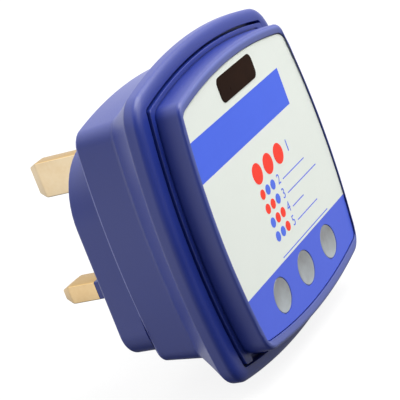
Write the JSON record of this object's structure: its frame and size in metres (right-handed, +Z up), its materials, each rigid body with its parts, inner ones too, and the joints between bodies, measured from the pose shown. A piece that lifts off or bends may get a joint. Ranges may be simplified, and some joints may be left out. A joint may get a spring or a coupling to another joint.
{
  "type": "outlet tester plug",
  "caption": "Plug-in mains socket tester: a two-part barrel-sided casing with flat pins behind, and a face label with round indicator windows.",
  "frame": {"origin": "centre of the earth pin on the flat face that meets the socket", "axes": "+X to the user's right when facing the label of the plugged-in tester, +Y along the pins into the wall, +Z up towards the earth pin"},
  "size_m": [0.0692, 0.0547, 0.0654],
  "materials": {
    "casing": "satin royal blue ABS",
    "label": "white polyester label, printed, satin",
    "window": "translucent pale grey lens",
    "pin_brass": "milled brass, satin",
    "sleeve": "dark navy pin sleeve",
    "clamp": "black moulded plastic",
    "screw_steel": "bright zinc plate",
    "strip_brass": "pressed brass strip",
    "laminate": "green glass-fibre laminate",
    "light_block": "black moulded plastic",
    "lamp": "red diffused epoxy",
    "lead": "tinned wire",
    "resistor": "blue lacquered body",
    "diode": "black moulded body",
    "capacitor": "ochre box capacitor"
  },
  "bodies": {
    "root": {"board_screws": "screw_steel", "capacitor": "capacitor", "capacitor_leads": "lead", "circuit_board": "laminate", "clamp_screws": "screw_steel", "contact_screws": "screw_steel", "contact_washers": "screw_steel", "diode_1": "diode", "diode_2": "diode", "diode_3": "diode", "diode_leads": "lead", "earth_contact": "strip_brass", "earth_pin": "pin_brass", "front_cover": "casing", "front_label": "label", "lamp_leads": "lead", "lamp_left": "lamp", "lamp_middle": "lamp", "lamp_right": "lamp", "light_block": "light_block", "line_contact": "strip_brass", "line_pin": "pin_brass", "line_sleeve": "sleeve", "neutral_contact": "strip_brass", "neutral_pin": "pin_brass", "neutral_sleeve": "sleeve", "pin_clamp": "clamp", "rear_housing": "casing", "resistor_1": "resistor", "resistor_2": "resistor", "resistor_3": "resistor", "resistor_4": "resistor", "resistor_5": "resistor", "resistor_6": "resistor", "resistor_leads": "lead", "window_left": "window", "window_middle": "window", "window_right": "window"}
  },
  "joints": []
}
